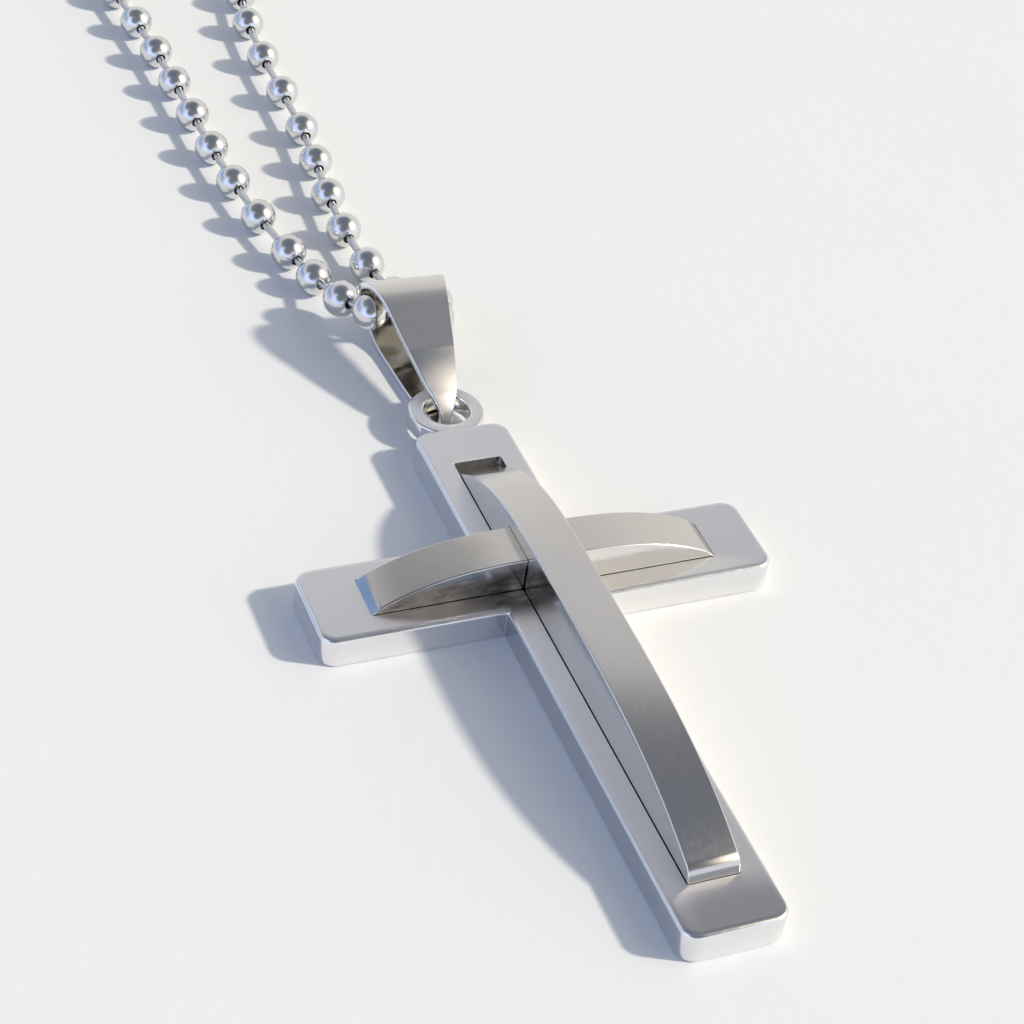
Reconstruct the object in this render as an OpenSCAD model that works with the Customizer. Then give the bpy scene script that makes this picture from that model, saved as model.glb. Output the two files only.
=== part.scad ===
// Flat cross pendant with two crossed arched bands, an eye ring, a strip bail and a ball chain.
// The pendant lies on its back on the XY plane, +Z up, the chain running off towards +Y.

/* [Cross] */
// Length of the upright arm from bottom end to top end
cross_l = 41; // [32:0.5:56]
// Width of the crossbar from tip to tip
cross_w = 28; // [22:0.5:40]
// Length of the upright arm above the middle of the crossbar
head_l = 13.4; // [10:0.2:18]
// Width of both arms
arm_w = 6.1; // [5:0.1:9]
// Thickness of the cross
cross_t = 2; // [1.6:0.1:3]
// Radius of the outer corners in plan
corner_r = 1; // [0.5:0.1:1.6]
// Height and width of the polished bevel round the top face
edge_bevel = 0.35; // [0.15:0.05:0.5]

/* [Recess] */
// Width of the polished recess
recess_w = 3.1; // [2.6:0.1:4.4]
// Depth of the recess below the top face
recess_depth = 1.5; // [0.8:0.1:1.5]
// Metal left between the recess and the end of an arm
recess_margin = 3.3; // [2.5:0.1:5]

/* [Bands] */
// Gap between a band and the side walls of the recess
band_gap = 0.08; // [0.06:0.01:0.15]
// Thickness of both bands
band_t = 0.6; // [0.4:0.05:0.7]
// Bevel along the long edges of the bands
band_bevel = 0.12; // [0.05:0.01:0.15]
// Height of the short band's top above the cross at its middle
short_rise = 2.2; // [1.8:0.05:3]
// Height of the long band's top above the short band's top where they cross
cross_over = 1; // [0.9:0.05:1.4]
// Distance of the long band's highest point below the middle of the crossbar
top_below = 4.5; // [2:0.5:6]
// Height of the long band's lower crease above the cross
low_crease_rise = 0.75; // [0.6:0.05:1]
// Height of the long band's upper crease above the cross
high_crease_rise = 1.25; // [1:0.05:1.6]
// Length of the slope from the long band's upper crease down into the recess
high_slope = 2.8; // [2:0.1:3.5]
// Height of the short band's creases above the cross
short_crease_rise = 0.4; // [0.3:0.05:0.8]
// Length of the slopes from the short band's creases down into the recess
short_slope = 0.5; // [0.4:0.05:1]

/* [Eye ring] */
// Outer radius of the eye ring
eye_r = 2.4; // [2.1:0.05:3]
// Radius of the hole in the eye ring
eye_hole_r = 1.45; // [1.3:0.05:1.6]
// Thickness of the eye ring
eye_t = 1.2; // [0.9:0.05:1.3]
// Depth of the eye ring's top below the cross's top face
eye_drop = 0.25; // [0.1:0.05:0.5]
// Bevel along the eye ring's edges
eye_bevel = 0.3; // [0.1:0.05:0.4]
// How far the eye ring reaches into the end of the cross
eye_bite = 0.35; // [0.3:0.05:0.6]

/* [Bail] */
// Thickness of the bail's sheet
bail_t = 0.45; // [0.3:0.05:0.45]
// Bevel along the bail's edges
bail_bevel = 0.06; // [0.03:0.01:0.1]
// Width of the bail at its widest, on the far edge
bail_w = 5.6; // [5:0.1:6.5]
// Length of the bail from its tip in the eye to its far edge
bail_l = 11.3; // [11:0.1:14]
// Height of the bail's top above the floor
bail_h = 5.25; // [5.2:0.05:6]
// Turn of the bail in the eye ring, degrees
bail_yaw = 2; // [0:0.5:2]

/* [Chain] */
// Diameter of the beads
bead_d = 2.4; // [2:0.1:2.5]
// Distance from bead to bead along the chain
bead_pitch = 4.54; // [4.2:0.02:5]
// Diameter of the rods between the beads
link_d = 0.5; // [0.4:0.05:0.6]
// Gap between a rod and the wall of the bore that it enters
link_gap = 0.25; // [0.2:0.05:0.3]
// Width of the laid-out loop of chain
loop_w = 80; // [60:1:110]
// Distance from the middle of the crossbar to the far end of the loop
loop_y = 244; // [200:1:300]
// Diameter of the plain connector at the far end
clasp_d = 3; // [2.8:0.1:4]
// Length of the plain connector
clasp_l = 7; // [6:0.5:9]
// Depth of the blind bore in each end of the connector
clasp_bore_l = 1.6; // [1.2:0.1:2]

/* [Hidden] */
$fn = 0;

steel = [0.77, 0.77, 0.76];
polished = [0.85, 0.85, 0.86];
satin = [0.62, 0.61, 0.6];

recess_floor = cross_t - recess_depth;
foot_y = head_l - cross_l;
eye_y = head_l + eye_r - eye_bite;
eye_z = cross_t - eye_drop - eye_t;
bead_r = bead_d / 2;
bore_r = link_d / 2 + link_gap;
// distance from a bead's middle to the end of each rod in it
link_inset = 0.5;
// largest bend in degrees for which one straight bore takes both rods
straight_bend = 14;

// the whole thing is moved so that the middle of its bounding box is over the origin
y_shift = -(foot_y + loop_y + clasp_d / 2) / 2;

// Strips of sheet
function unit(v) = v / norm(v);
function right_of(v) = [v[1], -v[0]];

// the step from the outer to the inner face of a strip at a corner between two directions
function mitre(a, b, t) =
    let (n = unit(right_of(a) + right_of(b)))
    n * t / (n * right_of(a));

function strip_step(route, i, t, closed) =
    let (
        n = len(route),
        before = closed ? (i + n - 1) % n : max(i - 1, 0),
        after = closed ? (i + 1) % n : min(i + 1, n - 1),
        here = [route[i][0], route[i][1]],
        last = [route[before][0], route[before][1]],
        next = [route[after][0], route[after][1]],
        a = before == i ? unit(next - here) : unit(here - last),
        b = after == i ? a : unit(next - here)
    )
    mitre(a, b, t);

// across the strip: x, and the share of the way from the outer to the inner face
function strip_section(w, t, e) = [
    [-w / 2 + e, 0], [w / 2 - e, 0], [w / 2, e / t], [w / 2, 1 - e / t],
    [w / 2 - e, 1], [-w / 2 + e, 1], [-w / 2, 1 - e / t], [-w / 2, e / t]
];

// a strip of sheet whose outer face follows a route of rows [y, z, width]
module strip(route, t, e, closed = false) {
    n = len(route);
    k = 8;
    points = [
        for (i = [0:n - 1])
            let (step = strip_step(route, i, t, closed))
            for (s = strip_section(route[i][2], t, e))
                [s[0], route[i][0] + step[0] * s[1], route[i][1] + step[1] * s[1]]
    ];
    sides = [
        for (i = [0:closed ? n - 1 : n - 2])
            for (j = [0:k - 1])
                let (
                    a = i * k + j,
                    b = i * k + (j + 1) % k,
                    c = ((i + 1) % n) * k + (j + 1) % k,
                    d = ((i + 1) % n) * k + j
                )
                each [[a, d, c], [a, c, b]]
    ];
    caps = closed ? [] : [
        [for (j = [0:k - 1]) j],
        [for (j = [k - 1:-1:0]) (n - 1) * k + j]
    ];
    polyhedron(points, concat(sides, caps));
}

// direction of the smooth curve at b, between a and c, leaning to the nearer one
function heading(a, b, c) =
    let (p = norm(b - a), q = norm(c - b))
    ((b - a) * q / p + (c - b) * p / q) / (p + q);

// a point a share f of the way from b to c on the smooth curve through a, b, c and d
function smooth(a, b, c, d, f) =
    let (
        l = norm(c - b),
        square = f * f,
        cube = f * f * f
    )
    b * (2 * cube - 3 * square + 1)
    + heading(a, b, c) * l * (cube - 2 * square + f)
    + c * (3 * square - 2 * cube)
    + heading(b, c, d) * l * (cube - square);

// Cross with recess and eye ring
// a flat bar on the floor with rounded corners in plan and a bevel round its top face
module bar(x0, x1, y0, y1) {
    w = x1 - x0;
    l = y1 - y0;
    side_h = cross_t - edge_bevel;
    across = [[0, 0], [w, 0], [w, side_h], [w - edge_bevel, cross_t], [edge_bevel, cross_t], [0, side_h]];
    along = [[0, 0], [l, 0], [l, side_h], [l - edge_bevel, cross_t], [edge_bevel, cross_t], [0, side_h]];
    translate([x0, y1 - corner_r, 0]) rotate([90, 0, 0]) linear_extrude(l - 2 * corner_r) polygon(across);
    translate([x0 + corner_r, y0, 0]) rotate([90, 0, 90]) linear_extrude(w - 2 * corner_r) polygon(along);
    for (x = [x0 + corner_r, x1 - corner_r])
        for (y = [y0 + corner_r, y1 - corner_r])
            translate([x, y, 0]) {
                cylinder(h = side_h, r = corner_r);
                translate([0, 0, side_h]) cylinder(h = edge_bevel, r1 = corner_r, r2 = corner_r - edge_bevel);
            }
}

// the ring that the bail hangs in, thinner than the cross and set between its two faces
module eye_ring() {
    e = eye_bevel;
    translate([0, eye_y, eye_z])
        rotate_extrude()
            polygon([
                [eye_hole_r, e], [eye_hole_r + e, 0], [eye_r - e, 0], [eye_r, e],
                [eye_r, eye_t - e], [eye_r - e, eye_t], [eye_hole_r + e, eye_t], [eye_hole_r, eye_t - e]
            ]);
}

module recess(x0, x1, y0, y1) {
    translate([x0, y0, recess_floor]) cube([x1 - x0, y1 - y0, cross_t]);
}

module cross_base() {
    color(steel) {
        difference() {
            union() {
                bar(-arm_w / 2, arm_w / 2, foot_y, head_l);
                bar(-cross_w / 2, cross_w / 2, -arm_w / 2, arm_w / 2);
            }
            recess(-recess_w / 2, recess_w / 2, foot_y + recess_margin, head_l - recess_margin);
            recess(recess_margin - cross_w / 2, cross_w / 2 - recess_margin, -recess_w / 2, recess_w / 2);
        }
        eye_ring();
    }
}

// Bands
band_w = recess_w - 2 * band_gap;
band_steps = 14;
// gap between a band's ends and the ends of the recess
end_gap = 0.1;
// height of the long band's lower end above the recess's floor
end_lift = 0.2;
// rise of the long band's upper end above the recess's floor, and depth of the short band's
// ends below the cross's top face
high_end_lift = 1.1;
short_end_drop = 0.1;
// width of the steep face at the long band's lower end
low_slope = 0.15;
// how flat the arches are in the middle; 2 would be a parabola
long_power = 3;
short_power = 3;

// rows of a band's outer face from one crease to the other over its highest point
function arch(from, to, top_at, from_z, to_z, top_z, power, steps) = [
    for (i = [0:steps])
        let (
            y = from + (to - from) * i / steps,
            below = y < top_at,
            reach = below ? top_at - from : to - top_at,
            crease_z = below ? from_z : to_z
        )
        [y, top_z - (top_z - crease_z) * pow(abs(y - top_at) / reach, power), band_w]
];

module long_band() {
    low_end = foot_y + recess_margin + end_gap;
    high_end = head_l - recess_margin - end_gap;
    route = concat(
        [[low_end, recess_floor + end_lift, band_w]],
        arch(
            low_end + low_slope, high_end - high_slope, -top_below,
            cross_t + low_crease_rise, cross_t + high_crease_rise,
            cross_t + short_rise + cross_over, long_power, 2 * band_steps
        ),
        [[high_end, recess_floor + high_end_lift, band_w]]
    );
    color(satin) strip(route, band_t, band_bevel);
}

module short_band() {
    end = cross_w / 2 - recess_margin - end_gap;
    crease = end - short_slope;
    crease_z = cross_t + short_crease_rise;
    end_z = cross_t - short_end_drop;
    route = concat(
        [[-end, end_z, band_w]],
        arch(-crease, crease, 0, crease_z, crease_z, cross_t + short_rise, short_power, band_steps),
        [[end, end_z, band_w]]
    );
    color(satin) rotate([0, 0, -90]) strip(route, band_t, band_bevel);
}

// Bail
// rows from the tip over the front leaf, the top and the far edge, back along the floor:
// share of the length, share of the height, share of the width
bail_shape = [
    [0.000, 0.17, 0.15],
    [0.009, 0.30, 0.16],
    [0.053, 0.43, 0.25],
    [0.124, 0.53, 0.36],
    [0.248, 0.62, 0.47],
    [0.372, 0.74, 0.57],
    [0.522, 0.865, 0.67],
    [0.637, 0.96, 0.75],
    [0.735, 1.00, 0.82],
    [0.841, 0.98, 0.91],
    [0.940, 0.85, 1.00],
    [0.996, 0.62, 0.95],
    [0.991, 0.38, 0.85],
    [0.920, 0.16, 0.75],
    [0.796, 0.03, 0.66],
    [0.655, 0.00, 0.60],
    [0.470, 0.00, 0.53],
    [0.300, 0.00, 0.45],
    [0.062, 0.00, 0.20],
    [0.013, 0.06, 0.16]
];
bail_steps = 3;
// the bail's tip along Y from the middle of the eye ring
bail_tip = -0.25;

function bail_row(i) =
    let (row = bail_shape[i % len(bail_shape)])
    [bail_tip + row[0] * bail_l, row[1] * bail_h, row[2] * bail_w];

module bail() {
    n = len(bail_shape);
    route = [
        for (i = [0:n - 1])
            for (s = [0:bail_steps - 1])
                smooth(bail_row(i + n - 1), bail_row(i), bail_row(i + 1), bail_row(i + 2), s / bail_steps)
    ];
    seated = [for (row = route) [row[0], max(row[1], 0), row[2]]];
    color(satin)
        translate([0, eye_y, 0])
            rotate([0, 0, -bail_yaw])
                strip(seated, bail_t, bail_bevel, closed = true);
}

// Ball chain
half_w = loop_w / 2 - bead_r;
arc_y = loop_y - half_w;

// the chain's chosen points near the pendant, down the left strand, through the bail and up the
// right strand: share of the bail's width across, share of its length beyond the eye ring's
// middle, share of its height up; where that is lower than a bead's radius, the bead lies on
// the floor
near_shares = [
    [-1.18, 4.52, 0],
    [-0.768, 1.703, 0],
    [-0.634, 1.42, 0],
    [-0.532, 1.075, 0.402],
    [-0.375, 0.792, 0.61],
    [0.429, 0.766, 0.438],
    [0.634, 1.04, 0],
    [0.196, 1.164, 0],
    [0.079, 1.482, 0],
    [0.232, 3.02, 0],
    [0.32, 4.385, 0]
];
near_route = [
    for (row = near_shares)
        [row[0] * bail_w, eye_y + row[1] * bail_l, max(row[2] * bail_h, bead_r)]
];
bail_crossing = 5;

// the far half of each strand: share of the loop's half width, share of the way from the end of
// the near points to the loop's middle, and then the angles of the points on its round end
strand_y = near_route[len(near_route) - 1][1];
widening = [[0.26, 0.21], [0.57, 0.46], [0.88, 0.75]];
arc_turns = [0, 27, 54, 80];

// one side of the far half, up to the connector
function far_side(side) = concat(
    [for (row = widening) [side * row[0] * half_w, strand_y + row[1] * (arc_y - strand_y), bead_r]],
    [for (turn = arc_turns) [side * half_w * cos(turn), arc_y + half_w * sin(turn), bead_r]]
);
function reversed(list) = [for (i = [len(list) - 1:-1:0]) list[i]];

// beads fill the stretches between these points; the first stands for the connector
clasp_at = [0, loop_y, clasp_d / 2];
chain_route = concat([[0, loop_y, bead_r]], reversed(far_side(-1)), near_route, far_side(1));
first_right = 1 + len(far_side(-1)) + bail_crossing;

function route_point(i) = chain_route[(i + len(chain_route)) % len(chain_route)];

// beads from one chosen point up to the next, this one included
function beads_from(i) =
    let (
        a = route_point(i),
        b = route_point(i + 1),
        n = max(1, round(norm(b - a) / bead_pitch))
    )
    [for (k = [0:n - 1]) smooth(route_point(i - 1), a, b, route_point(i + 2), k / n)];

left_beads = [for (i = [1:first_right - 1]) each beads_from(i)];
right_beads = [for (i = [first_right:len(chain_route) - 2]) each beads_from(i)];
last_bead = chain_route[len(chain_route) - 1];
stations = concat(left_beads, right_beads, [last_bead]);
clasp_end = [clasp_l / 2, 0, 0];

// moves its children from +Z at the origin to a point, aimed along a direction
module aim(at, direction) {
    translate(at)
        rotate([0, acos(direction[2] / norm(direction)), atan2(direction[1], direction[0])])
            children();
}

// a bead drilled straight through, its bore a little skew to both rods
module straight_bead(at, before, after) {
    aim(at, unit(after - at) - unit(before - at))
        rotate_extrude()
            intersection() {
                circle(r = bead_r);
                translate([bore_r, -bead_r]) square([bead_r, bead_d]);
            }
}

// a faceted bead where the chain bends sharply, drilled from both sides towards its middle; the
// second bore is a trace finer, so that no two of their faces fall together
second_bore = 0.98;
module bent_bead(at, before, after) {
    difference() {
        translate(at) sphere(r = bead_r, $fn = 12);
        aim(at, before - at) cylinder(h = bead_d, r = bore_r, $fn = 8);
        aim(at, after - at) cylinder(h = bead_d, r = bore_r * second_bore, $fn = 8);
    }
}

// angle in degrees by which the chain turns in a bead
function bend(at, before, after) = acos(unit(at - before) * unit(after - at));

module bead(at, before, after) {
    if (bend(at, before, after) > straight_bend) bent_bead(at, before, after);
    else straight_bead(at, before, after);
}

function neighbour(i) =
    i < 0 ? clasp_at - clasp_end :
    i >= len(stations) ? clasp_at + clasp_end :
    stations[i];

module beads(from, to) {
    color(polished)
        for (i = [from:to])
            bead(stations[i], neighbour(i - 1), neighbour(i + 1));
}

module link(a, b) {
    way = b - a;
    aim(a + unit(way) * link_inset, way) cylinder(h = norm(way) - 2 * link_inset, d = link_d);
}

module chain_left() {
    beads(0, len(left_beads) - 1);
}

module chain_right() {
    beads(len(left_beads), len(stations) - 1);
}

module chain_links() {
    color(steel)
        for (i = [-1:len(stations) - 1])
            link(neighbour(i), neighbour(i + 1));
}

// a plain tube with a blind bore in each end for the last rods
module chain_clasp() {
    color(steel)
        translate(clasp_at - clasp_end)
            rotate([0, 90, 0])
                difference() {
                    cylinder(h = clasp_l, d = clasp_d);
                    translate([0, 0, -clasp_bore_l]) cylinder(h = 2 * clasp_bore_l, r = bore_r);
                    translate([0, 0, clasp_l - clasp_bore_l]) cylinder(h = 2 * clasp_bore_l, r = bore_r);
                }
}

translate([0, y_shift, 0]) {
    cross_base();
    long_band();
    short_band();
    bail();
    chain_left();
    chain_right();
    chain_links();
    chain_clasp();
}
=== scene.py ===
# Cross pendant on a ball chain: fine surfaces, materials, floor, light and camera
import math

import bmesh
import bpy
import numpy as np
from mathutils import Matrix, Vector
from mathutils.geometry import tessellate_polygon


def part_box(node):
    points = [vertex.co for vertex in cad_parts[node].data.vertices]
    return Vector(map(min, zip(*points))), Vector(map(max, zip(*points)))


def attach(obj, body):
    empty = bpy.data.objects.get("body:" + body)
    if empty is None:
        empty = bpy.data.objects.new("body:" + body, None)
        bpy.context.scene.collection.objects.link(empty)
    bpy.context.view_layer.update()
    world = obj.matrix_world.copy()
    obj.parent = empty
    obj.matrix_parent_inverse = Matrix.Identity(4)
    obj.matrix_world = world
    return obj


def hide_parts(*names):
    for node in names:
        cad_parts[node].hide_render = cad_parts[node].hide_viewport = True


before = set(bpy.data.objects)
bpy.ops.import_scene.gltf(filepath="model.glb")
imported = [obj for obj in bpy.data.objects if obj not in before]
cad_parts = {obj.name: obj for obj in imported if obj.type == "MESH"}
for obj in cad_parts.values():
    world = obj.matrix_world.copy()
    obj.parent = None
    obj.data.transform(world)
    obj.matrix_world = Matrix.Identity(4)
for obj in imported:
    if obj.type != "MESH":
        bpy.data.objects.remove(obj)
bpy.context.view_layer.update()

# Metres in a millimetre
MM = 0.001

# Sizes in millimetres, and the bail's turn, that are the same as in the part's source
CROSS_L = 41.0
CROSS_W = 28.0
HEAD_L = 13.4
ARM_W = 6.1
CROSS_T = 2.0
CORNER_R = 1.0
RECESS_W = 3.1
RECESS_FLOOR = 0.5
RECESS_MARGIN = 3.3
BAND_T = 0.6
SHORT_RISE = 2.2
SHORT_LEAN = 0.5
SHORT_CREASE = 0.4
CROSS_OVER = 1.0
LONG_TOP_AT = -4.5
LONG_LOW_CREASE = 0.75
LONG_HIGH_CREASE = 1.25
EYE_R = 2.4
EYE_HOLE_R = 1.45
EYE_T = 1.2
EYE_BITE = 0.35
EYE_BELOW_TOP = 0.25
BAIL_T = 0.45
BAIL_W = 5.6
BAIL_L = 11.3
BAIL_H = 5.25
BAIL_TIP = -0.25
BAIL_YAW = math.radians(2)
BEAD_R = 1.2
BEAD_PITCH = 4.54
LINK_R = 0.25
LOOP_W = 80.0
LOOP_Y = 244.0
CLASP_D = 3.0
CLASP_L = 7.0
CLASP_BORE_R = 0.5
CLASP_BORE_DEPTH = 1.6

FOOT_Y = HEAD_L - CROSS_L
EYE_Y = HEAD_L + EYE_R - EYE_BITE
EYE_Z = CROSS_T - EYE_BELOW_TOP - EYE_T

# Rounded edges, in millimetres
ROLL_W = 0.36
ROLL_H = 0.24
FLAT_RIM = 0.03
FOOT_ROUND = 0.15
RIM_ROUND = 0.02
FLOOR_ROUND = 0.1
INSIDE_CORNER_R = 0.12
RECESS_CORNER_R = 0.16
EYE_EDGE = 0.13
STRIP_EDGE = 0.1

# Bands, in millimetres: most of these add to the part's source or differ a little from it
BAND_W = 3.0
END_GAP = 0.005
SHORT_FOOT_DROP = 0.03
SHORT_CREASE_R = 0.15
LONG_LOW_END = 0.2
LONG_HIGH_END = 0.8
LONG_FOOT_LEAN = 0.02
LONG_LOW_LEAN = 0.2
LONG_HIGH_LEAN = 2.85
LONG_LOW_CREASE_R = 0.42
LONG_HIGH_CREASE_R = 0.12
# A higher power makes an arch flatter on top and steeper at its ends
SHORT_POWER = 3
LONG_POWER = 3.6

# Plates that close the bands' sides, in millimetres
CROSSING_HALF = 1.57
PLATE_T = 0.15
PLATE_PROUD = 0.004
PLATE_DROP = 0.2
PLATE_END = 0.1
PLATE_GAP = 0.01
PLATE_MIN_H = 0.02
PLATE_OVER_SHORT = 0.03
LONG_PLATE_LIFT = 0.25
SHORT_PLATE_DEPTH = 0.55

# Fine shapes of the chain, in millimetres and degrees
BEAD_WALL = 0.16
BEAD_HOLE_R = 0.34
BEAD_OPENING = 5
BEAD_INNER_END = 70
# A bead's lip: out from the hole's wall, down from its rim
BEAD_LIP = ((0.03, 0.02), (0.0, 0.1), (0.02, 0.22))
LINK_INSET = 0.62
LINK_NECK = 0.42
LINK_HEAD_R = 0.38
# A rod's head: share of its radius, height
LINK_HEAD = ((0.8, 0.05), (1.0, 0.18), (0.8, 0.3))
CLASP_EDGE = 0.3
CLASP_BORE_LIP = 0.1
# The radius of a turned shape at its axis, as good as none
AXIS_R = 0.001

# How finely curves are cut, and how many steps of the rolled rim are satin
SATIN_ROWS = 4
EDGE_STEPS = 3
CORNER_STEPS = 6
ROUND_STEPS = 8
CREASE_STEPS = 5
EYE_EDGE_STEPS = 5
EYE_SEGMENTS = 72
LONG_STEPS = 64
SHORT_STEPS = 48
BAIL_STEPS = 9
BEAD_SEGMENTS = 22
BEAD_STEPS = 15
BEAD_INNER_STEPS = 5
LINK_SEGMENTS = 10
LINK_STEPS = 4
CLASP_SEGMENTS = 32
CLASP_STEPS = 3
CLASP_EDGE_STEPS = 4

# Degrees from which an edge stays sharp, and the modifier's weight for smooth faces
SHARP_ANGLE = 35
CHAIN_SHARP_ANGLE = 60
CLASP_SHARP_ANGLE = 40
NORMAL_WEIGHT = 80

# Bumps in metres and noise in cells per metre
BUMP_DEPTH = 0.00001
CLOUD_CELLS = 260
MARK_CELLS = 500
WIPE_CELLS = 2200
# Cells per metre of the spots of painted glints
PAINTED_GLINT_CELLS = 2400
FLOOR_CLOUD_CELLS = 30
FLOOR_GRAIN_CELLS = 900
FLOOR_BUMP_DEPTH = 0.0002
# The part of a noise's values that is used
NOISE_LOW = 0.3
NOISE_HIGH = 0.7
# Where an oval fades, as a share of its radii
FADE_START = 0.6
FADE_END = 1.2

# The middle of the crossbar in the frame
SHIFT = Vector((0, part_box("cross_base")[0][1] / MM - FOOT_Y, 0))


# Mesh helpers
class Shape:
    """Vertices in millimetres from the crossbar's middle, and faces with a material number each."""

    def __init__(self):
        self.verts = []
        self.faces = []
        self.mats = []

    def add_verts(self, points):
        start = len(self.verts)
        self.verts.extend(tuple(p) for p in points)
        return start

    def add_face(self, corners, mat):
        self.faces.append(tuple(corners))
        self.mats.append(mat)

    def join_loops(self, a, b, count, mat):
        for i in range(count):
            j = (i + 1) % count
            self.add_face((a + i, a + j, b + j, b + i), mat)


def make_object(name, shape, materials, node, sharp_angle=SHARP_ANGLE, weighted=False):
    """Makes the object of a shape, ties it to the root body, hides the part's node and turns its faces
    outwards.
    """
    mesh = bpy.data.meshes.new(name)
    verts = [tuple((Vector(v) + SHIFT) * MM) for v in shape.verts]
    mesh.from_pydata(verts, [], shape.faces)
    for material in materials:
        mesh.materials.append(material)
    mesh.polygons.foreach_set("material_index", shape.mats)
    mesh.polygons.foreach_set("use_smooth", [True] * len(shape.faces))
    mesh.update()
    mesh.set_sharp_from_angle(angle=math.radians(sharp_angle))
    piece = bpy.data.objects.new(name, mesh)
    bpy.context.scene.collection.objects.link(piece)
    if weighted:
        modifier = piece.modifiers.new("normals", "WEIGHTED_NORMAL")
        modifier.keep_sharp = True
        modifier.weight = NORMAL_WEIGHT
    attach(piece, "root")
    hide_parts(node)
    work = bmesh.new()
    work.from_mesh(mesh)
    bmesh.ops.recalc_face_normals(work, faces=work.faces)
    work.to_mesh(mesh)
    work.free()


def lathe(shape, profile, segments, origin, axis, mats):
    """Turns a closed profile of rows (radius, height) about an axis through an origin."""
    z = Vector(axis).normalized()
    turn = Vector((0, 0, 1)).rotation_difference(z).to_matrix()
    start = len(shape.verts)
    count = len(profile)
    for i in range(segments):
        angle = 2 * math.pi * i / segments
        for r, h in profile:
            local = Vector((r * math.cos(angle), r * math.sin(angle), h))
            shape.verts.append(tuple(Vector(origin) + turn @ local))
    for i in range(segments):
        a = start + i * count
        b = start + ((i + 1) % segments) * count
        for k in range(count):
            m = (k + 1) % count
            shape.add_face((a + k, b + k, b + m, a + m), mats[k % len(mats)])


def arc(centre, r, start, end, steps):
    """Points on an arc in a plane, angles in degrees."""
    points = []
    for i in range(steps + 1):
        angle = math.radians(start + (end - start) * i / steps)
        points.append((centre[0] + r * math.cos(angle), centre[1] + r * math.sin(angle)))
    return points


# Smooth curves, as in the part's source, and strips with rounded edges
def heading(a, b, c):
    """The direction of a smooth curve at the middle one of three points."""
    p = np.linalg.norm(b - a)
    q = np.linalg.norm(c - b)
    return ((b - a) * q / p + (c - b) * p / q) / (p + q)


def smooth(a, b, c, d, f):
    """A point on the smooth curve between b and c, at the share f of the way."""
    span = np.linalg.norm(c - b)
    square = f * f
    cube = square * f
    return (
        b * (2 * cube - 3 * square + 1)
        + heading(a, b, c) * span * (cube - 2 * square + f)
        + c * (3 * square - 2 * cube)
        + heading(b, c, d) * span * (cube - square)
    )


def strip_section(width, thickness, edge, steps):
    """Corners of a flat bar with rounded edges: across, and share of the thickness."""
    half = width / 2
    share = edge / thickness
    rows = []
    corners = (
        (half - edge, share, -90, 0),
        (half - edge, 1 - share, 0, 90),
        (edge - half, 1 - share, 90, 180),
        (edge - half, share, 180, 270),
    )
    for x, v, start, end in corners:
        for px, pv in arc((0, 0), 1, start, end, steps):
            rows.append((x + px * edge, v + pv * share))
    return rows


def strip(shape, route, thickness, edge, closed, mats):
    """A strip of sheet whose outer face follows rows (y, z, width); mats are outer, edge and inner."""
    n = len(route)
    loops = []
    for i in range(n):
        here = np.array(route[i][:2])
        last = np.array(route[(i - 1) % n][:2])
        following = np.array(route[(i + 1) % n][:2])
        a = here - last
        b = following - here
        if not closed and i == 0:
            a = b
        if not closed and i == n - 1:
            b = a
        a = a / np.linalg.norm(a)
        b = b / np.linalg.norm(b)
        right_a = np.array((a[1], -a[0]))
        right_b = np.array((b[1], -b[0]))
        normal = right_a + right_b
        normal = normal / np.linalg.norm(normal)
        inward = normal * thickness / (normal @ right_a)
        rows = strip_section(route[i][2], thickness, edge, EDGE_STEPS)
        points = [(x, here[0] + inward[0] * v, here[1] + inward[1] * v) for x, v in rows]
        loops.append(shape.add_verts(points))
    count = 4 * (EDGE_STEPS + 1)
    outer = count - 1
    inner = 2 * (EDGE_STEPS + 1) - 1
    for i in range(n if closed else n - 1):
        a = loops[i]
        b = loops[(i + 1) % n]
        for j in range(count):
            m = (j + 1) % count
            mat = mats[0] if j == outer else mats[2] if j == inner else mats[1]
            shape.add_face((a + j, b + j, b + m, a + m), mat)
    if not closed:
        shape.add_face(range(loops[0], loops[0] + count), mats[1])
        shape.add_face(range(loops[-1] + count - 1, loops[-1] - 1, -1), mats[1])


# Materials
def new_material(name):
    material = bpy.data.materials.new(name)
    material.use_nodes = True
    tree = material.node_tree
    shader = tree.nodes["Principled BSDF"]
    return material, tree, shader


def noise_of(tree, scale, stretch, detail=2.0, rough=0.5):
    """Noise in the object's own coordinates, scale in cells per metre, stretched per axis."""
    coords = tree.nodes.new("ShaderNodeTexCoord")
    mapping = tree.nodes.new("ShaderNodeMapping")
    mapping.inputs["Scale"].default_value = stretch
    noise = tree.nodes.new("ShaderNodeTexNoise")
    noise.inputs["Scale"].default_value = scale
    noise.inputs["Detail"].default_value = detail
    noise.inputs["Roughness"].default_value = rough
    tree.links.new(coords.outputs["Object"], mapping.inputs["Vector"])
    tree.links.new(mapping.outputs["Vector"], noise.inputs["Vector"])
    return noise.outputs["Fac"]


def map_range(tree, value, start, end, low, high, curve="SMOOTHSTEP"):
    """Takes a value's span from start to end over to the span from low to high."""
    node = tree.nodes.new("ShaderNodeMapRange")
    node.interpolation_type = curve
    node.inputs["From Min"].default_value = start
    node.inputs["From Max"].default_value = end
    node.inputs["To Min"].default_value = low
    node.inputs["To Max"].default_value = high
    tree.links.new(value, node.inputs["Value"])
    return node.outputs["Result"]


def ranged(tree, value, low, high):
    """Spreads a noise value over a range."""
    return map_range(tree, value, NOISE_LOW, NOISE_HIGH, low, high, curve="LINEAR")


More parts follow.
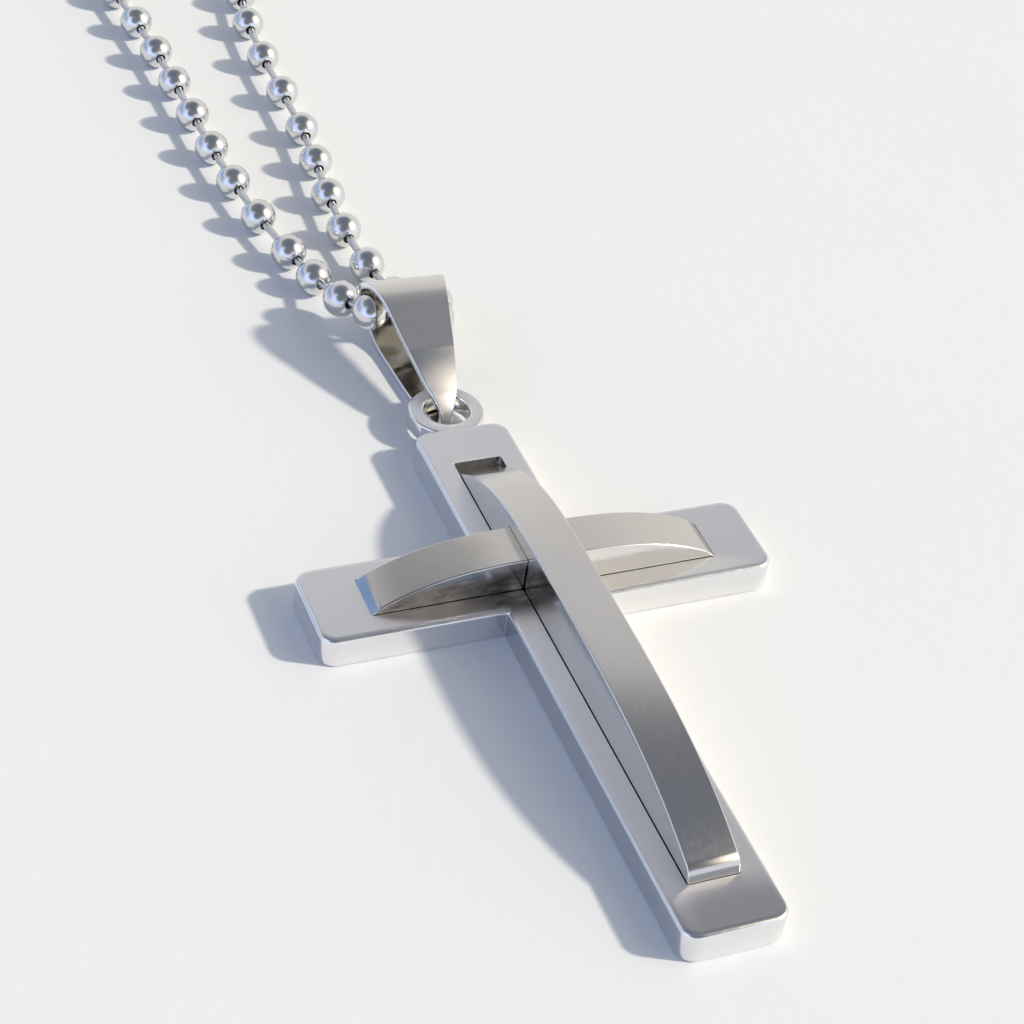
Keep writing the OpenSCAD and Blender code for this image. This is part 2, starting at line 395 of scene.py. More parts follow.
def blended(tree, factor, a, b):
    """From a to b as the factor goes from 0 to 1; each is a colour or another node's socket."""
    node = tree.nodes.new("ShaderNodeMix")
    node.data_type = "RGBA"
    tree.links.new(factor, node.inputs["Factor"])
    for name, colour in (("A", a), ("B", b)):
        if isinstance(colour, tuple):
            node.inputs[name].default_value = (*colour, 1)
        else:
            tree.links.new(colour, node.inputs[name])
    return node.outputs["Result"]


def bumped(tree, shader, height, strength, distance):
    node = tree.nodes.new("ShaderNodeBump")
    node.inputs["Strength"].default_value = strength
    node.inputs["Distance"].default_value = distance
    tree.links.new(height, node.inputs["Height"])
    tree.links.new(node.outputs["Normal"], shader.inputs["Normal"])


def brushed_metal(name, dark, light, rough_low, rough_high, cells, stretch, bump, anisotropic=0.0):
    """Steel with a fine grain along one axis and a slow cloudiness; anisotropic widens glints in X."""
    material, tree, shader = new_material(name)
    shader.inputs["Metallic"].default_value = 1.0
    if anisotropic:
        tangent = tree.nodes.new("ShaderNodeTangent")
        tangent.direction_type = "RADIAL"
        tangent.axis = "Y"
        tree.links.new(tangent.outputs["Tangent"], shader.inputs["Tangent"])
        shader.inputs["Anisotropic"].default_value = anisotropic
    grain = noise_of(tree, cells, stretch, detail=3.0)
    cloud = noise_of(tree, CLOUD_CELLS, (1, 1, 1), detail=2.0)
    tree.links.new(blended(tree, cloud, dark, light), shader.inputs["Base Color"])
    tree.links.new(ranged(tree, grain, rough_low, rough_high), shader.inputs["Roughness"])
    bumped(tree, shader, grain, bump, BUMP_DEPTH)
    return material


def fading(tree, centre, radii, low, high):
    """From low to high as a point leaves an oval about a centre; sizes in mm from the crossing."""
    coords = tree.nodes.new("ShaderNodeTexCoord")
    mapping = tree.nodes.new("ShaderNodeMapping")
    scale = [1 / (r * MM) for r in radii]
    middle = (Vector(centre) + SHIFT) * MM
    mapping.inputs["Scale"].default_value = scale
    mapping.inputs["Location"].default_value = [-m * s for m, s in zip(middle, scale)]
    length = tree.nodes.new("ShaderNodeVectorMath")
    length.operation = "LENGTH"
    tree.links.new(coords.outputs["Object"], mapping.inputs["Vector"])
    tree.links.new(mapping.outputs["Vector"], length.inputs[0])
    return map_range(tree, length.outputs["Value"], FADE_START, FADE_END, low, high)


def paint_light_and_shade(material, centre, radii, colour, painted_glints=None):
    """Paints light and shade into a material: turns it towards a colour inside an oval, with painted
    glints of a second colour if given.
    """
    tree = material.node_tree
    shader = tree.nodes["Principled BSDF"]
    untouched = shader.inputs["Base Color"].links[0].from_socket
    if painted_glints:
        noise = noise_of(tree, PAINTED_GLINT_CELLS, (0.35, 1, 1), detail=5.0, rough=0.7)
        colour = blended(tree, ranged(tree, noise, 0.0, 1.0), colour, painted_glints)
    outside = fading(tree, centre, radii, 0.0, 1.0)
    tree.links.new(blended(tree, outside, colour, untouched), shader.inputs["Base Color"])


def roughened(material, centre, radii, extra):
    """Adds to a material's roughness inside an oval."""
    tree = material.node_tree
    shader = tree.nodes["Principled BSDF"]
    untouched = shader.inputs["Roughness"].links[0].from_socket
    node = tree.nodes.new("ShaderNodeMath")
    node.operation = "ADD"
    tree.links.new(untouched, node.inputs[0])
    tree.links.new(fading(tree, centre, radii, extra, 0.0), node.inputs[1])
    tree.links.new(node.outputs["Value"], shader.inputs["Roughness"])


def polished_metal(name, dark, light, rough_low, rough_high, uneven=0.15):
    """Mirror steel with handling marks and, the more uneven it is, a wavier surface."""
    material, tree, shader = new_material(name)
    shader.inputs["Metallic"].default_value = 1.0
    cloud = noise_of(tree, MARK_CELLS, (1, 1, 1), detail=3.0)
    wipe = noise_of(tree, WIPE_CELLS, (1, 0.3, 1), detail=2.0)
    tree.links.new(blended(tree, cloud, dark, light), shader.inputs["Base Color"])
    tree.links.new(ranged(tree, wipe, rough_low, rough_high), shader.inputs["Roughness"])
    bumped(tree, shader, cloud, uneven, BUMP_DEPTH)
    return material


satin_steel = brushed_metal(
    "satin_steel", (0.77, 0.765, 0.785), (0.82, 0.815, 0.83), 0.40, 0.43, 9000, (1, 0.4, 1), 0.02,
    anisotropic=0.9,
)
# Painted dark reflection: the top face of the foot is darkened
paint_light_and_shade(satin_steel, (0, FOOT_Y - 0.3, CROSS_T), (7, 3.4, 4), (0.50, 0.505, 0.525))
# Painted reflection: the top face's strip left of the long band on the lower arm is lightened
paint_light_and_shade(satin_steel, (-2.3, -13.5, CROSS_T), (1.3, 12, 1), (0.94, 0.93, 0.93))
# Painted light: the strip in front of the short band on the right arm is lightened, as if sunlight
# bounced off the band's side onto it
paint_light_and_shade(satin_steel, (6.5, -2.4, CROSS_T), (6, 1.3, 1), (0.96, 0.95, 0.93))
# Painted shade with painted glints: the top face at the inner corner by the crossing is darkened under
# the bands and spotted bright
paint_light_and_shade(satin_steel, (-2.4, -2.2, CROSS_T), (1.7, 1.0, 1.0), (0.26, 0.235, 0.21), (0.92, 0.89, 0.85))
long_brushed = brushed_metal(
    "long_brushed", (0.60, 0.585, 0.57), (0.67, 0.655, 0.64), 0.15, 0.22, 12000, (1, 0.03, 1), 0.08
)
short_brushed = brushed_metal(
    "short_brushed", (0.62, 0.60, 0.57), (0.68, 0.66, 0.63), 0.16, 0.24, 12000, (0.03, 1, 1), 0.08
)
# Painted dark reflection: the short band's left half is darkened
paint_light_and_shade(short_brushed, (-7.5, 0, 3.5), (4.5, 3, 3), (0.50, 0.485, 0.465))
bail_brushed = brushed_metal(
    "bail_brushed", (0.69, 0.67, 0.64), (0.78, 0.76, 0.74), 0.28, 0.32, 9000, (1, 0.3, 1), 0.03
)
roughened(bail_brushed, (0, EYE_Y - 0.6, 2.4), (3, 3.6, 3), 0.20)
edge_steel = polished_metal("edge_steel", (0.80, 0.80, 0.81), (0.88, 0.88, 0.88), 0.12, 0.22)
# Painted shade: the walls and floor of the recess are a darker, browner copy of the polished steel
shaded_recess_steel = polished_metal(
    "shaded_recess_steel", (0.46, 0.43, 0.39), (0.66, 0.63, 0.58), 0.08, 0.18, uneven=0.8
)
# Painted shade: the recess floor under the crossing of the bands is turned a flat, darker brown
paint_light_and_shade(shaded_recess_steel, (0, 0, RECESS_FLOOR), (2.6, 2.6, 3), (0.55, 0.50, 0.45))
band_side_steel = polished_metal(
    "band_side_steel", (0.68, 0.67, 0.66), (0.80, 0.79, 0.78), 0.12, 0.2, uneven=0.10
)
# Painted shade: the left side of the lower arm is darkened
paint_light_and_shade(edge_steel, (-ARM_W / 2, -14, 0.6), (1.6, 15, 1.9), (0.66, 0.67, 0.69))
# Painted dark reflection with painted glints: the plates on the near side of the short band's left
# half are darkened and spotted with light
paint_light_and_shade(band_side_steel, (-5, -1.5, 2.2), (6.5, 0.8, 1.5), (0.17, 0.15, 0.13), (0.48, 0.44, 0.40))
# Painted shade with painted glints: the band plates by the crossing's inner corner are darkened and
# spotted bright
paint_light_and_shade(band_side_steel, (-1.5, -2, 2.4), (1, 1.9, 1.7), (0.22, 0.20, 0.18), (0.95, 0.92, 0.88))
# Painted shade: the bail's inner face is a darker, browner copy of the polished steel
shaded_bail_inside_steel = polished_metal(
    "shaded_bail_inside_steel", (0.42, 0.40, 0.36), (0.60, 0.57, 0.52), 0.08, 0.18, uneven=0.8
)
bead_steel = polished_metal("bead_steel", (0.68, 0.68, 0.69), (0.78, 0.78, 0.78), 0.14, 0.24)
link_steel = polished_metal("link_steel", (0.60, 0.59, 0.58), (0.72, 0.71, 0.70), 0.14, 0.24)


# Cross with recess and eye ring
def cross_outline(half, tip, top, foot, convex_r, concave_r):
    """A Latin cross's outline, anticlockwise, with rounded corners."""
    corners = [
        (half, foot, convex_r), (half, -half, concave_r), (tip, -half, convex_r),
        (tip, half, convex_r), (half, half, concave_r), (half, top, convex_r),
        (-half, top, convex_r), (-half, half, concave_r), (-tip, half, convex_r),
        (-tip, -half, convex_r), (-half, -half, concave_r), (-half, foot, convex_r),
    ]
    points = []
    count = len(corners)
    for i, (x, y, r) in enumerate(corners):
        here = Vector((x, y))
        before = (here - Vector(corners[i - 1][:2])).normalized()
        after = (Vector(corners[(i + 1) % count][:2]) - here).normalized()
        centre = here - before * r + after * r
        for k in range(CORNER_STEPS + 1):
            angle = math.pi / 2 * k / CORNER_STEPS
            points.append(centre - after * (r * math.cos(angle)) + before * (r * math.sin(angle)))
    return points


def outer_outline(grow):
    return cross_outline(
        ARM_W / 2 + grow,
        CROSS_W / 2 + grow,
        HEAD_L + grow,
        FOOT_Y - grow,
        CORNER_R + grow,
        INSIDE_CORNER_R - grow,
    )


def recess_outline(grow):
    return cross_outline(
        RECESS_W / 2 + grow,
        CROSS_W / 2 - RECESS_MARGIN + grow,
        HEAD_L - RECESS_MARGIN + grow,
        FOOT_Y + RECESS_MARGIN - grow,
        RECESS_CORNER_R + grow,
        RECESS_CORNER_R - grow,
    )


def add_outline(shape, outline, z):
    return shape.add_verts([(p.x, p.y, z) for p in outline])


def fill_between(shape, outlines, starts, z, mat):
    """Triangles that fill a flat outline, with a hole where a second outline is given."""
    loops = [[Vector((p.x, p.y, z)) for p in outline] for outline in outlines]
    numbers = []
    for start, outline in zip(starts, outlines):
        numbers.extend(range(start, start + len(outline)))
    for triangle in tessellate_polygon(loops):
        shape.add_face([numbers[i] for i in triangle], mat)


def quarter():
    """Sine and cosine pairs of a quarter turn."""
    angles = [math.pi / 2 * k / ROUND_STEPS for k in range(ROUND_STEPS + 1)]
    return [(math.sin(angle), math.cos(angle)) for angle in angles]


def build_cross():
    shape = Shape()
    satin, polish, hollow = 0, 1, 2
    # Outer wall, from the flat of the top face down to the floor
    outer_rows = [(-ROLL_W - FLAT_RIM, CROSS_T)]
    for s, c in quarter():
        outer_rows.append((-ROLL_W * (1 - s), CROSS_T - ROLL_H * (1 - c)))
    for s, c in quarter():
        outer_rows.append((-FOOT_ROUND * (1 - c), FOOT_ROUND * (1 - s)))
    starts = [add_outline(shape, outer_outline(grow), z) for grow, z in outer_rows]
    count = len(outer_outline(0))
    for i, (a, b) in enumerate(zip(starts, starts[1:])):
        shape.join_loops(b, a, count, satin if i < SATIN_ROWS else polish)
    # Recess wall, from the flat of the top face down to the recess's floor
    recess_rows = [(RIM_ROUND + FLAT_RIM, CROSS_T)]
    for s, c in quarter():
        recess_rows.append((RIM_ROUND * (1 - s), CROSS_T - RIM_ROUND * (1 - c)))
    for s, c in quarter():
        recess_rows.append((-FLOOR_ROUND * (1 - c), RECESS_FLOOR + FLOOR_ROUND * (1 - s)))
    recess_rows.append((-FLOOR_ROUND - FLAT_RIM, RECESS_FLOOR))
    inner = [add_outline(shape, recess_outline(grow), z) for grow, z in recess_rows]
    for i, (a, b) in enumerate(zip(inner, inner[1:])):
        shape.join_loops(a, b, count, satin if i <= ROUND_STEPS else hollow)
    top_loops = [outer_outline(outer_rows[0][0]), recess_outline(recess_rows[0][0])]
    fill_between(shape, top_loops, [starts[0], inner[0]], CROSS_T, satin)
    fill_between(shape, [outer_outline(-FOOT_ROUND)], [starts[-1]], 0, satin)
    fill_between(shape, [recess_outline(recess_rows[-1][0])], [inner[-1]], RECESS_FLOOR, hollow)
    # Eye ring
    e = EYE_EDGE
    corners = (
        (EYE_R - e, EYE_T - e, 90, 0),
        (EYE_R - e, e, 0, -90),
        (EYE_HOLE_R + e, e, -90, -180),
        (EYE_HOLE_R + e, EYE_T - e, 180, 90),
    )
    profile = []
    for r, h, start, end in corners:
        profile += arc((r, h), e, start, end, EYE_EDGE_STEPS)
    mats = [polish] * (len(profile) - 1) + [satin]
    lathe(shape, profile, EYE_SEGMENTS, (0, EYE_Y, EYE_Z), (0, 0, 1), mats)
    make_object(
        "cross_body", shape, [satin_steel, edge_steel, shaded_recess_steel], "cross_base",
        weighted=True,
    )


# Bands
def arch(start, end, top_at, start_z, end_z, top_z, power, steps):
    """Rows of a strip's outer face that rises from one crease to a top and falls to the other."""
    rows = []
    for i in range(steps + 1):
        y = start + (end - start) * i / steps
        below = y < top_at
        reach = top_at - start if below else end - top_at
        ridge = start_z if below else end_z
        rows.append((y, top_z - (top_z - ridge) * (abs(y - top_at) / reach) ** power, BAND_W))
    return rows


def long_route():
    """Rows of the long band's outer face, from the foot of the cross to its head."""
    low_end = FOOT_Y + RECESS_MARGIN + END_GAP
    high_end = HEAD_L - RECESS_MARGIN - END_GAP
    top_z = CROSS_T + SHORT_RISE + CROSS_OVER
    curve = arch(
        low_end + LONG_LOW_LEAN,
        high_end - LONG_HIGH_LEAN,
        LONG_TOP_AT,
        CROSS_T + LONG_LOW_CREASE,
        CROSS_T + LONG_HIGH_CREASE,
        top_z,
        LONG_POWER,
        LONG_STEPS,
    )
    foot = [
        (low_end, RECESS_FLOOR + LONG_LOW_END, BAND_W),
        (low_end + LONG_FOOT_LEAN, CROSS_T, BAND_W),
    ]
    head = [(high_end, RECESS_FLOOR + LONG_HIGH_END, BAND_W)]
    route = foot + curve + head
    route = soften(route, len(route) - 2, LONG_HIGH_CREASE_R)
    return soften(route, len(foot), LONG_LOW_CREASE_R)


def short_route():
    """Rows of the short band's outer face, as if it lay along Y."""
    end = CROSS_W / 2 - RECESS_MARGIN - END_GAP
    crease = end - SHORT_LEAN
    crease_z = CROSS_T + SHORT_CREASE
    top_z = CROSS_T + SHORT_RISE
    foot = CROSS_T - SHORT_FOOT_DROP
    curve = arch(-crease, crease, 0, crease_z, crease_z, top_z, SHORT_POWER, SHORT_STEPS)
    route = [(-end, foot, BAND_W)] + curve + [(end, foot, BAND_W)]
    route = soften(route, len(route) - 2, SHORT_CREASE_R)
    return soften(route, 1, SHORT_CREASE_R)


def soften(route, at, r):
    """Replaces the sharp crease at a row by a short curve of about r on each side."""
    here = np.array(route[at])
    before = np.array(route[at - 1])
    after = np.array(route[at + 1])
    a = here + (before - here) / np.linalg.norm(before - here) * r
    b = here + (after - here) / np.linalg.norm(after - here) * r
    curve = []
    for k in range(CREASE_STEPS + 1):
        f = k / CREASE_STEPS
        curve.append(tuple(a * (1 - f) ** 2 + 2 * here * f * (1 - f) + b * f * f))
    return route[:at] + curve + route[at + 1:]


def close_sides(shape, route, spans, bottom, mat):
    """Thin polished plates that close a band's long sides, from just under its top to a bottom."""
    ys = [row[0] for row in route]
    zs = [row[1] for row in route]
    outside = BAND_W / 2 + PLATE_PROUD
    inside = outside - PLATE_T
    for low, high in spans:
        rows = [low] + [y for y in ys if low < y < high] + [high]
        tops = np.interp(rows, ys, zs) - PLATE_DROP
        for side in (-1, 1):
            start = len(shape.verts)
            for y, top in zip(rows, tops):
                z = max(top, bottom + PLATE_MIN_H)
                for x, height in ((outside, z), (outside, bottom), (inside, bottom), (inside, z)):
                    shape.add_verts([(side * x, y, height)])
            for i in range(len(rows) - 1):
                for k in range(4):
                    m = (k + 1) % 4
                    a = start + 4 * i
                    shape.add_face((a + k, a + m, a + 4 + m, a + 4 + k), mat)
            last = start + 4 * (len(rows) - 1)
            shape.add_face(range(start, start + 4), mat)
            shape.add_face(range(last + 3, last - 1, -1), mat)


def arm_spans(route):
    """Where a band's sides are closed: from each end to the crossing."""
    return (
        (route[0][0] + PLATE_END, -CROSSING_HALF),
        (CROSSING_HALF, route[-1][0] - PLATE_END),
    )


def build_long_band():
    shape = Shape()
    route = long_route()
    strip(shape, route, BAND_T, STRIP_EDGE, False, (0, 1, 1))
    close_sides(shape, route, arm_spans(route), RECESS_FLOOR + LONG_PLATE_LIFT, 1)
    over_short = CROSS_T + SHORT_RISE + PLATE_OVER_SHORT
    middle = CROSSING_HALF - PLATE_GAP
    close_sides(shape, route, ((-middle, middle),), over_short, 1)
    make_object(
        "long_strip", shape, [long_brushed, band_side_steel], "long_band", weighted=True
    )


def build_short_band():
    shape = Shape()
    route = short_route()
    strip(shape, route, BAND_T, STRIP_EDGE, False, (0, 1, 1))
    close_sides(shape, route, arm_spans(route), CROSS_T - SHORT_PLATE_DEPTH, 1)
    shape.verts = [(y, -x, z) for x, y, z in shape.verts]
    make_object(
        "short_strip", shape, [short_brushed, band_side_steel], "short_band", weighted=True
    )


# Bail: share of the length, share of the height, share of the width
BAIL_SHAPE = [
    (0.000, 0.17, 0.15),
    (0.009, 0.30, 0.16),
    (0.053, 0.43, 0.25),
    (0.124, 0.52, 0.36),
    (0.248, 0.64, 0.47),
    (0.372, 0.748, 0.57),
    (0.522, 0.865, 0.67),
    (0.637, 0.96, 0.75),
    (0.735, 1.00, 0.82),
    (0.841, 0.98, 0.91),
    (0.940, 0.85, 1.00),
    (0.996, 0.62, 0.95),
    (0.991, 0.38, 0.85),
    (0.920, 0.16, 0.75),
    (0.796, 0.03, 0.66),
    (0.655, 0.00, 0.60),
    (0.470, 0.00, 0.53),
    (0.300, 0.00, 0.45),
    (0.062, 0.00, 0.20),
    (0.013, 0.06, 0.16),
]


def build_bail():
    rows = [
        np.array((BAIL_TIP + l * BAIL_L, h * BAIL_H, w * BAIL_W)) for l, h, w in BAIL_SHAPE
    ]
    n = len(rows)
    route = []
    for i in range(n):
        for s in range(BAIL_STEPS):
            row = smooth(
                rows[i - 1], rows[i], rows[(i + 1) % n], rows[(i + 2) % n], s / BAIL_STEPS
            )
            route.append((row[0], max(row[1], 0), row[2]))
    shape = Shape()
    strip(shape, route, BAIL_T, STRIP_EDGE, True, (0, 1, 2))
    turn = Matrix.Rotation(-BAIL_YAW, 3, "Z")
    place = Vector((0, EYE_Y, 0))
    shape.verts = [tuple(turn @ Vector(v) + place) for v in shape.verts]
    make_object(
        "bail_strip", shape, [bail_brushed, edge_steel, shaded_bail_inside_steel], "bail",
        weighted=True,
    )


# Ball chain: the chosen points of its route, as in the part's source
HALF_W = LOOP_W / 2 - BEAD_R
ARC_Y = LOOP_Y - HALF_W
WIDENING = ((0.26, 0.21), (0.57, 0.46), (0.88, 0.75))
ARC_TURNS = (0, 27, 54, 80)
NEAR_SHARES = (
    (-1.18, 4.52, 0),
    (-0.768, 1.703, 0),
    (-0.634, 1.42, 0),
    (-0.532, 1.075, 0.402),
    (-0.375, 0.792, 0.61),
    (0.429, 0.766, 0.438),
    (0.634, 1.04, 0),
    (0.196, 1.164, 0),
    (0.079, 1.482, 0),
    (0.232, 3.02, 0),
    (0.32, 4.385, 0),
)
NEAR_ROUTE = [
    (u * BAIL_W, EYE_Y + v * BAIL_L, max(h * BAIL_H, BEAD_R)) for u, v, h in NEAR_SHARES
]
STRAND_Y = NEAR_ROUTE[-1][1]
BAIL_CROSSING = 5


def far_side(side):
    """The points of one strand from the bail's side to the far end."""
    rows = [(side * u * HALF_W, STRAND_Y + v * (ARC_Y - STRAND_Y), BEAD_R) for u, v in WIDENING]
    for turn in ARC_TURNS:
        angle = math.radians(turn)
        rows.append((side * HALF_W * math.cos(angle), ARC_Y + HALF_W * math.sin(angle), BEAD_R))
    return rows


def bead_places():
    """Centres of the beads from the connector down the left strand and up the right one."""
    left = far_side(-1)
    route = [(0, LOOP_Y, BEAD_R)] + left[::-1] + NEAR_ROUTE + far_side(1)
    route = [np.array(p, float) for p in route]
    n = len(route)
    first_right = 1 + len(left) + BAIL_CROSSING
    places = []
    left_count = 0
    for i in range(1, n - 1):
        if i == first_right:
            left_count = len(places)
        a, b = route[i], route[i + 1]
        count = max(1, round(float(np.linalg.norm(b - a)) / BEAD_PITCH))
        for k in range(count):
            places.append(smooth(route[i - 1], a, b, route[(i + 2) % n], k / count))
    places.append(route[-1])
    return [Vector(p) for p in places], left_count


def bead_profile():
    """A hollow bead with a rounded lip round each hole: rows (radius, height)."""
    hole = BEAD_HOLE_R
    half = math.degrees(math.asin(hole / BEAD_R))
    outside = 90 - half - BEAD_OPENING
    inside = BEAD_INNER_END - half
    rim = math.sqrt(BEAD_R ** 2 - hole ** 2)
    outer = arc((0, 0), BEAD_R, outside, -outside, BEAD_STEPS)
    low = [(hole + out, down - rim) for out, down in BEAD_LIP]
    inner = arc((0, 0), BEAD_R - BEAD_WALL, -inside, inside, BEAD_INNER_STEPS)
    high = [(hole + out, rim - down) for out, down in reversed(BEAD_LIP)]
    return outer + low + inner + high


def build_beads(name, node, places, before, after):
    shape = Shape()
    profile = bead_profile()
    row = [before] + places + [after]
    for i in range(1, len(row) - 1):
        axis = (row[i + 1] - row[i]).normalized() + (row[i] - row[i - 1]).normalized()
        lathe(shape, profile, BEAD_SEGMENTS, row[i], axis, (0,))
    make_object(name, shape, [bead_steel], node, sharp_angle=CHAIN_SHARP_ANGLE)


def rod_profile(length):
    """A rod with a small head inside each bead: rows (radius, height)."""
    head = [(share * LINK_HEAD_R, height) for share, height in LINK_HEAD]
    foot = [(AXIS_R, 0)] + head + [(LINK_R, LINK_NECK)]
    plain = length - 2 * LINK_NECK
    middle = [(LINK_R, LINK_NECK + plain * k / LINK_STEPS) for k in range(1, LINK_STEPS)]
    top = [(r, length - h) for r, h in reversed(foot)]
    return foot + middle + top


def build_rods(ends):
    shape = Shape()
    for a, b in ends:
        way = b - a
        profile = rod_profile(way.length - 2 * LINK_INSET)
        lathe(shape, profile, LINK_SEGMENTS, a + way.normalized() * LINK_INSET, way, (0,))
    make_object(
        "rods", shape, [link_steel], "chain_links", sharp_angle=CHAIN_SHARP_ANGLE
    )


def build_clasp(centre):
    """The plain connector: a tube with rolled ends and a blind bore in each."""
    r = CLASP_D / 2
    half = CLASP_L / 2
    e = CLASP_EDGE
    bore = CLASP_BORE_R
    lip = CLASP_BORE_LIP
    depth = CLASP_BORE_DEPTH
    profile = (
        [(AXIS_R, half - depth), (bore, half - depth)]
        + [(bore, half - lip), (bore + lip, half)]
        + arc((r - e, half - e), e, 90, 0, CLASP_EDGE_STEPS)
        + [(r, half * k / CLASP_STEPS) for k in (1, 0, -1)]
        + arc((r - e, e - half), e, 0, -90, CLASP_EDGE_STEPS)
        + [(bore + lip, -half), (bore, lip - half)]
        + [(bore, depth - half), (AXIS_R, depth - half)]
    )
    shape = Shape()
    lathe(shape, profile, CLASP_SEGMENTS, centre, (1, 0, 0), (0,))
    make_object(
        "connector", shape, [edge_steel], "chain_clasp", sharp_angle=CLASP_SHARP_ANGLE
    )


def build_chain():
    places, left_count = bead_places()
    clasp = Vector((0, LOOP_Y, CLASP_D / 2))
    reach = Vector((CLASP_L / 2, 0, 0))
    row = [clasp - reach] + places + [clasp + reach]
    build_beads("beads_left", "chain_left", places[:left_count], row[0], places[left_count])
    build_beads("beads_right", "chain_right", places[left_count:], places[left_count - 1], row[-1])
    build_rods(list(zip(row, row[1:])))
    build_clasp(clasp)


# Floor, light and camera

# The sky's colours by the sine of their elevation
WHITE_SKY = (
    (0.0, (0.90, 0.88, 0.84)),
    (0.45, (0.86, 0.85, 0.83)),
    (0.60, (0.78, 0.775, 0.77)),
    (0.65, (0.77, 0.765, 0.77)),
    (0.69, (0.75, 0.745, 0.75)),
    (0.72, (0.72, 0.72, 0.725)),
    (0.745, (0.62, 0.62, 0.63)),
    (0.765, (0.38, 0.385, 0.405)),
    (0.79, (0.26, 0.27, 0.295)),
    (0.85, (0.22, 0.23, 0.265)),
    (1.0, (0.15, 0.185, 0.25)),
)
BLUE_SKY = (
    (0.0, (0.54, 0.68, 0.98)),
    (0.35, (0.42, 0.50, 0.68)),
    (0.52, (0.62, 0.66, 0.76)),
    (0.58, (0.92, 0.90, 0.90)),
    (0.65, (0.80, 0.79, 0.80)),
    (0.69, (0.35, 0.365, 0.41)),
    (0.85, (0.19, 0.215, 0.28)),
    (1.0, (0.15, 0.185, 0.25)),
)
NEAR_SKY = (
    (0.0, (0.95, 1.04, 1.20)),
    (0.40, (0.92, 0.98, 1.08)),
    (0.58, (0.27, 0.265, 0.265)),
    (0.80, (0.19, 0.185, 0.185)),
    (1.0, (0.15, 0.185, 0.25)),
)
# Parts of the sky: direction, and the cosines where each begins and is full
LEFT_SIDE = ((-1, 0.1, 0), 0.0, 0.45)
NEAR_SIDE = ((0, -1, 0), 0.02, 0.40)
# Patches of the sky in the same way, and their colours
SKY_PATCHES = (
    ((-0.75, -0.60, 0.35), 0.70, 0.95, (0.88, 1.06, 1.62)),
    ((1.3, -0.6, 1.0), 0.86, 0.98, (1.60, 1.48, 1.28)),
    ((-0.66, 0.68, 0.31), 0.980, 0.998, (0.22, 0.47, 0.95)),
    ((-0.35, -0.68, 0.64), 0.84, 0.96, (0.20, 0.21, 0.23)),
)
SUN_POWER = 3.36
SUN_WIDTH = 4
SUN_COLOUR = (1.0, 0.89, 0.73)
SUN_TRAVEL = (-1.3, 0.6, -1.0)
# The floor's size in metres
FLOOR_SIZE = 3.0
FLOOR_ROUGHNESS = 0.75
# The camera: millimetres from the crossbar's middle, degrees, pixels, and the sensor in millimetres
CAMERA_PLACE = (-48.49, -90.53, 91.72)
CAMERA_AZIMUTH = 27.06
CAMERA_ELEVATION = 39.91
CAMERA_ROLL = 8.92
CAMERA_FOCAL = 2357.0
PHOTO_WIDTH = 1024
SENSOR_WIDTH = 36.0
# The nearest and farthest that the camera sees, in metres
CLIP_NEAR = 0.01
CLIP_FAR = 20.0


def build_floor():
    bpy.ops.mesh.primitive_plane_add(size=FLOOR_SIZE, location=(0, 0, 0))
    floor = bpy.context.object
    floor.name = "floor"
    material, tree, shader = new_material("pale_floor")
    shader.inputs["Roughness"].default_value = FLOOR_ROUGHNESS
    cloud = noise_of(tree, FLOOR_CLOUD_CELLS, (1, 1, 1), detail=6.0, rough=0.6)
    colour = blended(tree, cloud, (0.735, 0.77, 0.81), (0.765, 0.80, 0.84))
    tree.links.new(colour, shader.inputs["Base Color"])
    fine = noise_of(tree, FLOOR_GRAIN_CELLS, (1, 1, 1), detail=4.0)
    bumped(tree, shader, fine, 0.12, FLOOR_BUMP_DEPTH)
    floor.data.materials.append(material)


def sky_ramp(tree, height, rows):
    """A colour for each sine of elevation."""
    ramp = tree.nodes.new("ShaderNodeValToRGB")
    tree.links.new(height, ramp.inputs["Fac"])
    stops = ramp.color_ramp.elements
    for stop, (position, colour) in zip(stops, (rows[0], rows[-1])):
        stop.position = position
        stop.color = (*colour, 1)
    for position, colour in rows[1:-1]:
        stops.new(position).color = (*colour, 1)
    return ramp.outputs["Color"]


def towards(tree, coords, direction, low, high):
    """From 0 to 1 as a direction of the sky nears a given one."""
    dot = tree.nodes.new("ShaderNodeVectorMath")
    dot.operation = "DOT_PRODUCT"
    dot.inputs[1].default_value = Vector(direction).normalized()
    tree.links.new(coords, dot.inputs[0])
    return map_range(tree, dot.outputs["Value"], low, high, 0.0, 1.0)


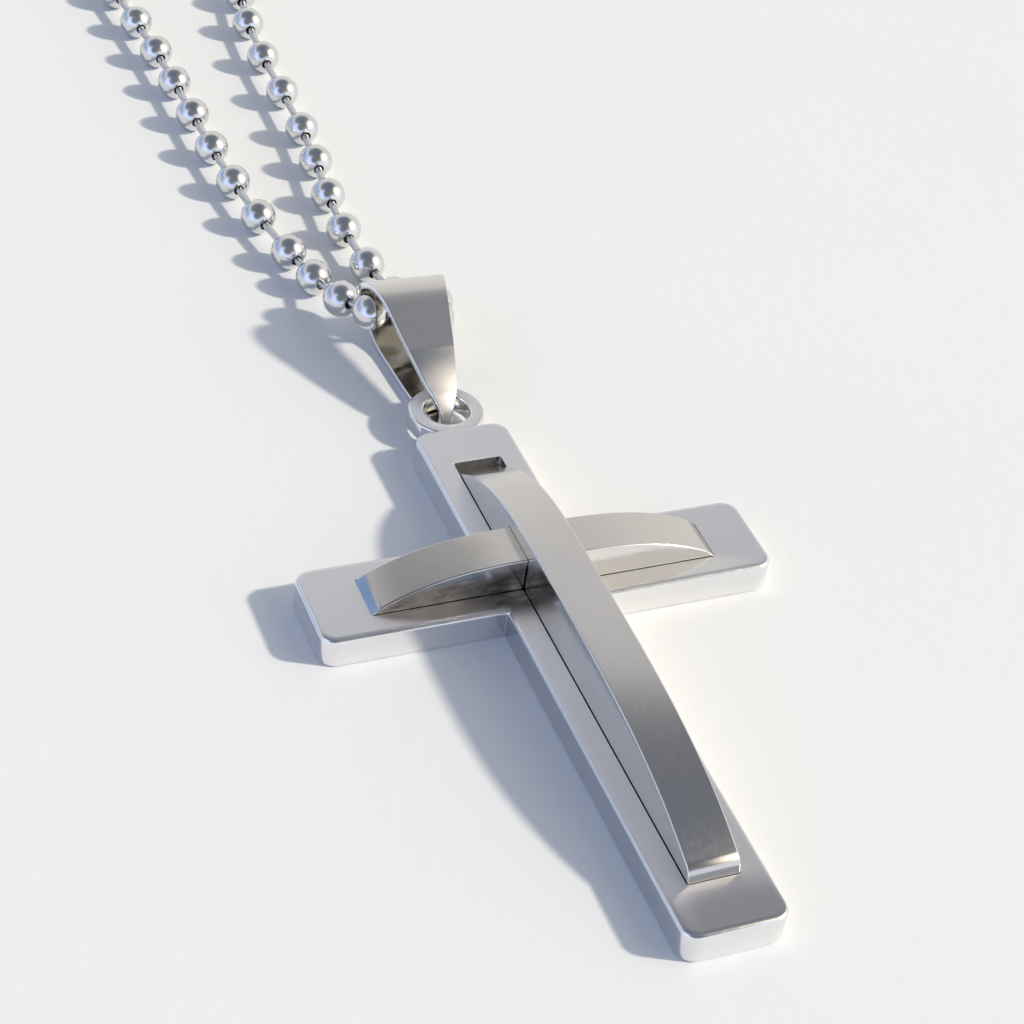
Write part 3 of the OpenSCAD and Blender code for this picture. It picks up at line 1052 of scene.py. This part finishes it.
def build_world():
    """A soft studio sky: pale low down, dark overhead, bluer on the left, with soft patches."""
    world = bpy.data.worlds.new("studio")
    bpy.context.scene.world = world
    bpy.context.scene.view_settings.view_transform = "Standard"
    world.use_nodes = True
    tree = world.node_tree
    background = tree.nodes["Background"]
    coords = tree.nodes.new("ShaderNodeTexCoord").outputs["Generated"]
    split = tree.nodes.new("ShaderNodeSeparateXYZ")
    tree.links.new(coords, split.inputs["Vector"])
    height = split.outputs["Z"]
    white = sky_ramp(tree, height, WHITE_SKY)
    blue = sky_ramp(tree, height, BLUE_SKY)
    left = towards(tree, coords, *LEFT_SIDE)
    colour = blended(tree, left, white, blue)
    near = towards(tree, coords, *NEAR_SIDE)
    colour = blended(tree, near, colour, sky_ramp(tree, height, NEAR_SKY))
    for direction, low, high, patch in SKY_PATCHES:
        share = towards(tree, coords, direction, low, high)
        colour = blended(tree, share, colour, patch)
    tree.links.new(colour, background.inputs["Color"])
    background.inputs["Strength"].default_value = 1.0


def build_sun():
    lamp = bpy.data.lights.new("key", "SUN")
    lamp.energy = SUN_POWER
    lamp.angle = math.radians(SUN_WIDTH)
    lamp.color = SUN_COLOUR
    key = bpy.data.objects.new("key", lamp)
    key.rotation_euler = Vector(SUN_TRAVEL).to_track_quat("-Z", "Y").to_euler()
    bpy.context.scene.collection.objects.link(key)


def build_camera():
    azimuth = math.radians(CAMERA_AZIMUTH)
    elevation = math.radians(CAMERA_ELEVATION)
    roll = math.radians(CAMERA_ROLL)
    forward = Vector((
        math.sin(azimuth) * math.cos(elevation),
        math.cos(azimuth) * math.cos(elevation),
        -math.sin(elevation),
    ))
    level = Vector((math.cos(azimuth), -math.sin(azimuth), 0))
    above = level.cross(forward)
    right = level * math.cos(roll) + above * math.sin(roll)
    up = above * math.cos(roll) - level * math.sin(roll)
    data = bpy.data.cameras.new("camera")
    data.sensor_fit = "HORIZONTAL"
    data.sensor_width = SENSOR_WIDTH
    data.lens = CAMERA_FOCAL / PHOTO_WIDTH * SENSOR_WIDTH
    data.clip_start = CLIP_NEAR
    data.clip_end = CLIP_FAR
    camera = bpy.data.objects.new("camera", data)
    turn = Matrix((right, up, -forward)).transposed().to_4x4()
    place = (Vector(CAMERA_PLACE) + SHIFT) * MM
    camera.matrix_world = Matrix.Translation(place) @ turn
    bpy.context.scene.collection.objects.link(camera)
    bpy.context.scene.camera = camera


build_camera()
build_floor()
build_world()
build_sun()
build_cross()
build_long_band()
build_short_band()
build_bail()
build_chain()
